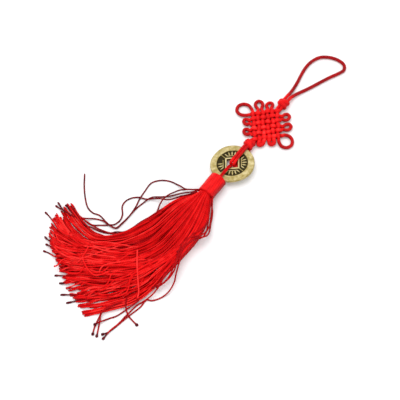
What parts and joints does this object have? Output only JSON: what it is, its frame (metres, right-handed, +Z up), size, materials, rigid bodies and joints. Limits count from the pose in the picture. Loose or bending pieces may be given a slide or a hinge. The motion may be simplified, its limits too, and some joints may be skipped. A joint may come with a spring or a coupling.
{
  "type": "chinese coin tassel charm",
  "caption": "Red hanging charm of knotted cord with an endless knot, a square-holed cast coin and a long tassel spread on the surface it lies on.",
  "frame": {"origin": "middle of the flat underside of the tassel's wound binding, on the surface that the charm lies on", "axes": "+Y along the charm from the tassel to the hanging loop, +Z up from the surface, +X to the right of the charm seen from above"},
  "size_m": [0.0834, 0.2243, 0.0096],
  "materials": {
    "knotting_cord": "satin",
    "tassel_thread": "satin",
    "old_brass": "satin"
  },
  "bodies": {
    "root": {"hanging_loop": "knotting_cord", "knotted_cord": "knotting_cord", "coin": "old_brass", "tassel_cord": "tassel_thread", "tassel_binding": "tassel_thread", "tassel": "tassel_thread"}
  },
  "joints": []
}
